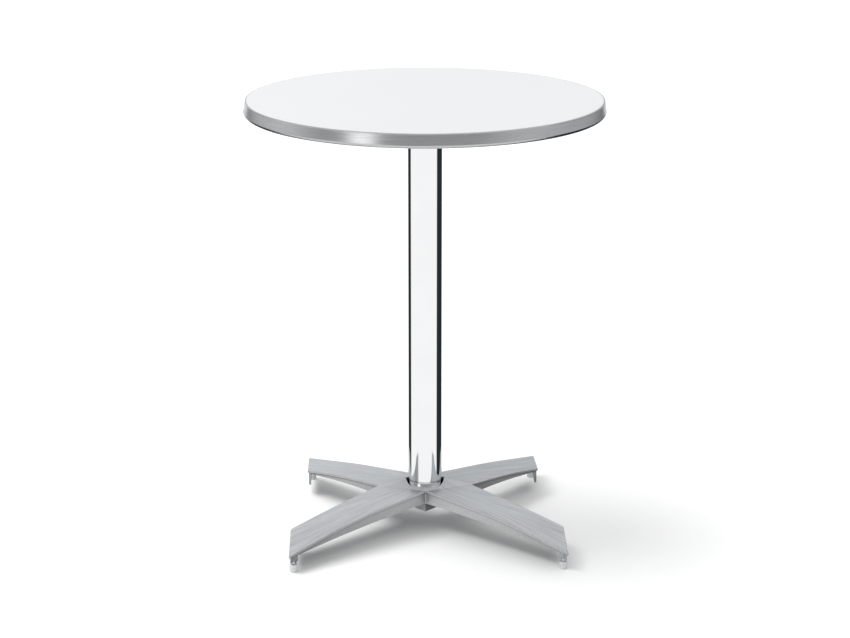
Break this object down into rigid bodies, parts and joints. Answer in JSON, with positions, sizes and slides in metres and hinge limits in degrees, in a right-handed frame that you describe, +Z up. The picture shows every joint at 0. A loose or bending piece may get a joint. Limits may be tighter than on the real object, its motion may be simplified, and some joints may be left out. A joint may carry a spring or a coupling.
{
  "type": "bistro table",
  "caption": "Round bistro table with a white top, a metal edge rim, a polished column and a cast four-arm base on levelling feet.",
  "frame": {"origin": "on the floor, on the column's axis", "axes": "+Z up, +X to the right and -Y to the front, between the two front arms"},
  "size_m": [0.6, 0.5999, 0.75],
  "materials": {
    "white_laminate": "satin",
    "core_board": "matt",
    "backing_laminate": "matt",
    "brushed_rim": "brushed",
    "chrome": "polished",
    "satin_aluminium": "satin",
    "black_coated": "textured",
    "zinc_steel": "plated",
    "brass_insert": "plain",
    "nylon": "matt"
  },
  "bodies": {
    "table": {"top_laminate": "white_laminate", "top_core": "core_board", "backing_laminate": "backing_laminate", "edge_rim": "brushed_rim", "rim_joint_key": "zinc_steel", "top_bracket": "black_coated", "bracket_inserts": "brass_insert", "bracket_screws": "zinc_steel", "column_tube": "chrome", "base_collar": "chrome", "base_casting": "satin_aluminium", "tie_rod": "zinc_steel", "base_washer": "zinc_steel", "base_spring_washer": "zinc_steel", "base_nut": "zinc_steel", "foot_nut_front_left": "zinc_steel", "foot_nut_front_right": "zinc_steel", "foot_nut_rear_left": "zinc_steel", "foot_nut_rear_right": "zinc_steel"},
    "pad_front_left": {"foot_pad_front_left": "nylon"},
    "stud_front_left": {"foot_stud_front_left": "zinc_steel"},
    "pad_front_right": {"foot_pad_front_right": "nylon"},
    "stud_front_right": {"foot_stud_front_right": "zinc_steel"},
    "pad_rear_left": {"foot_pad_rear_left": "nylon"},
    "stud_rear_left": {"foot_stud_rear_left": "zinc_steel"},
    "pad_rear_right": {"foot_pad_rear_right": "nylon"},
    "stud_rear_right": {"foot_stud_rear_right": "zinc_steel"}
  },
  "joints": [
    {"name": "level_front_left", "type": "slide", "parent": "table", "child": "pad_front_left", "axis": [0, 0, 1], "range_m": [-0.0035, 0.0025]},
    {"name": "screw_front_left", "type": "hinge", "parent": "pad_front_left", "child": "stud_front_left", "pos_m": [-0.223, -0.215, 0.006], "axis": [0, 0, 1], "range_deg": [-1260, 900]},
    {"name": "level_front_right", "type": "slide", "parent": "table", "child": "pad_front_right", "axis": [0, 0, 1], "range_m": [-0.0035, 0.0025]},
    {"name": "screw_front_right", "type": "hinge", "parent": "pad_front_right", "child": "stud_front_right", "pos_m": [0.223, -0.215, 0.006], "axis": [0, 0, 1], "range_deg": [-1260, 900]},
    {"name": "level_rear_left", "type": "slide", "parent": "table", "child": "pad_rear_left", "axis": [0, 0, 1], "range_m": [-0.0035, 0.0025]},
    {"name": "screw_rear_left", "type": "hinge", "parent": "pad_rear_left", "child": "stud_rear_left", "pos_m": [-0.201, 0.215, 0.006], "axis": [0, 0, 1], "range_deg": [-1260, 900]},
    {"name": "level_rear_right", "type": "slide", "parent": "table", "child": "pad_rear_right", "axis": [0, 0, 1], "range_m": [-0.0035, 0.0025]},
    {"name": "screw_rear_right", "type": "hinge", "parent": "pad_rear_right", "child": "stud_rear_right", "pos_m": [0.201, 0.215, 0.006], "axis": [0, 0, 1], "range_deg": [-1260, 900]}
  ],
  "couplings": [
    {"joint": "screw_front_left", "follows": "level_front_left", "rad_per_m": 6283.2},
    {"joint": "screw_front_right", "follows": "level_front_right", "rad_per_m": 6283.2},
    {"joint": "screw_rear_left", "follows": "level_rear_left", "rad_per_m": 6283.2},
    {"joint": "screw_rear_right", "follows": "level_rear_right", "rad_per_m": 6283.2}
  ]
}
